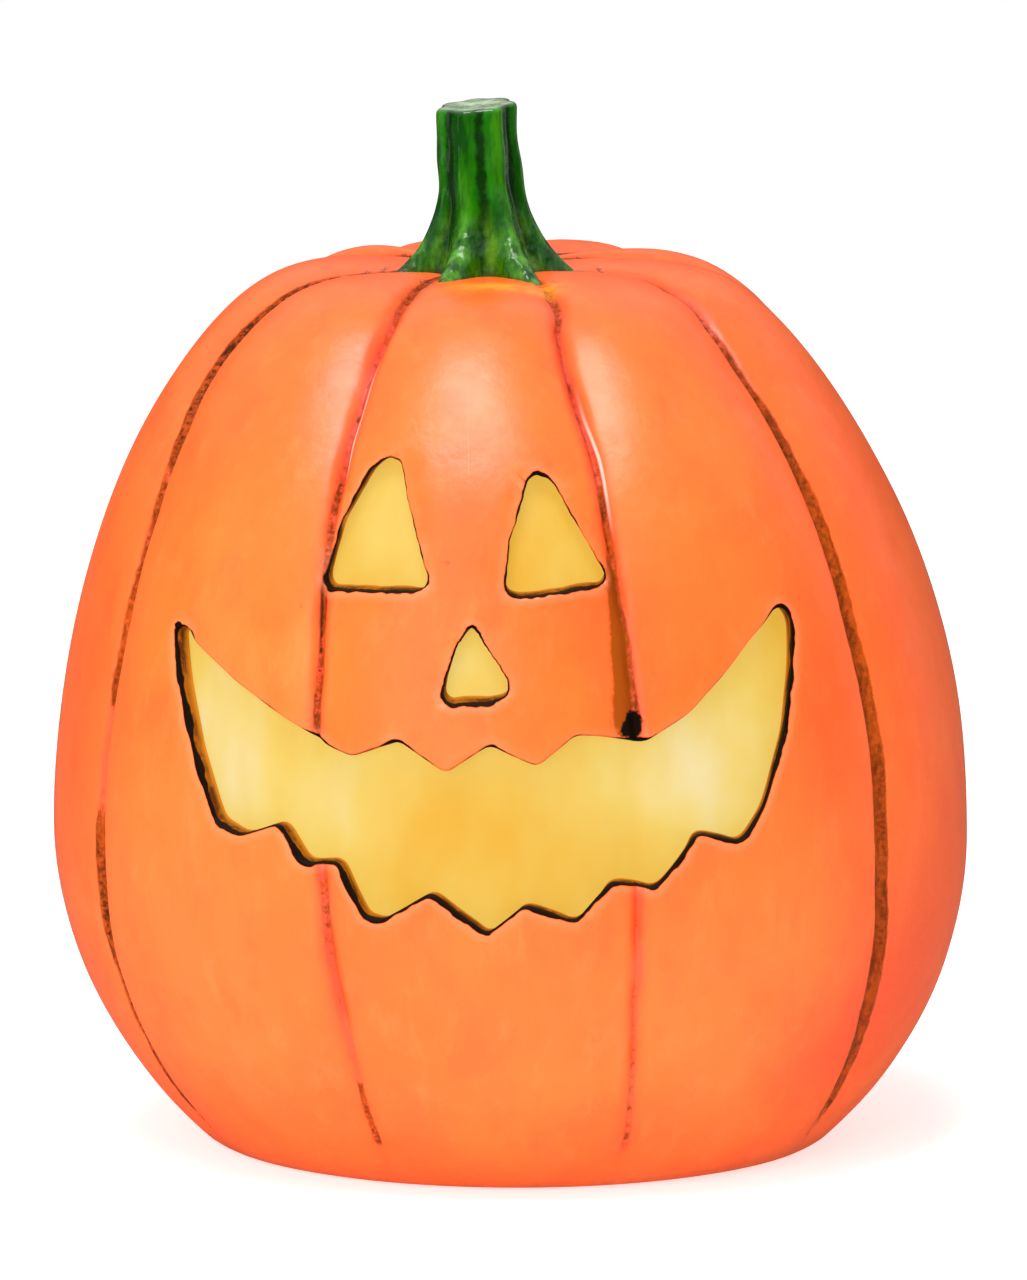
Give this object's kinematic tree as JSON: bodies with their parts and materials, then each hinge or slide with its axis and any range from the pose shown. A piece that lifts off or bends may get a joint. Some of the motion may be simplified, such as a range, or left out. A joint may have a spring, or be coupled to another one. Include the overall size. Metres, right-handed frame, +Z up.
{
  "type": "lighted pumpkin figure",
  "caption": "Hollow ribbed ceramic pumpkin with a carved smiling face, glowing yellow panel, green stem and a battery light in its base.",
  "frame": {"origin": "on the ground, under the middle of the body", "axes": "+Z up through the stem; the face looks along -Y; +X is to the right of someone facing the figure"},
  "size_m": [0.1862, 0.1848, 0.2119],
  "materials": {
    "orange_ceramic": "satin painted ceramic, a little translucent",
    "green_glaze": "glossy green paint with dark wash in the grooves",
    "yellow_panel": "translucent warm yellow, lit from behind",
    "base_plastic": "fine moulded texture",
    "door_plastic": "fine moulded texture",
    "adhesive": "matt foam tape",
    "nickel": "nickel-plated spring steel",
    "steel": "zinc-plated",
    "cell_jacket": "printed metal jacket with a plain band",
    "switch_metal": "tinned can",
    "slider_plastic": "satin",
    "circuit_board": "green solder mask",
    "led_lens": "clear lens with a warm chip",
    "resistor_body": "lacquered, with colour bands",
    "diffuser": "frosted white",
    "red_wire": "PVC insulation",
    "black_wire": "PVC insulation"
  },
  "bodies": {
    "pumpkin": {"pumpkin_shell": "orange_ceramic", "stem": "green_glaze", "face_liner": "yellow_panel", "base_housing": "base_plastic", "adhesive_ring": "adhesive", "battery_1": "cell_jacket", "battery_2": "cell_jacket", "battery_3": "cell_jacket", "battery_spring_1": "nickel", "battery_spring_2": "nickel", "battery_spring_3": "nickel", "positive_terminal": "nickel", "link_contact_1": "nickel", "link_contact_2": "nickel", "negative_terminal": "nickel", "switch_body": "switch_metal", "led_board": "circuit_board", "led_1": "led_lens", "led_2": "led_lens", "led_3": "led_lens", "resistor": "resistor_body", "board_screw_1": "steel", "board_screw_2": "steel", "diffuser_dome": "diffuser", "wire_battery_to_switch": "red_wire", "wire_switch_to_board": "red_wire", "wire_battery_to_board": "black_wire"},
    "door": {"battery_door": "door_plastic"},
    "screw": {"door_screw": "steel"},
    "switch": {"switch_slider": "slider_plastic"}
  },
  "joints": [
    {"name": "door_hinge", "type": "hinge", "parent": "pumpkin", "child": "door", "pos_m": [0, 0.0295, 0.0036], "axis": [1, 0, 0], "range_deg": [0, 95]},
    {"name": "door_screw_turn", "type": "hinge", "parent": "door", "child": "screw", "pos_m": [0, -0.032, 0.0022], "axis": [0, 0, 1], "continuous": true},
    {"name": "switch_slide", "type": "slide", "parent": "pumpkin", "child": "switch", "axis": [0, -1, 0], "range_m": [0, 0.003]}
  ]
}
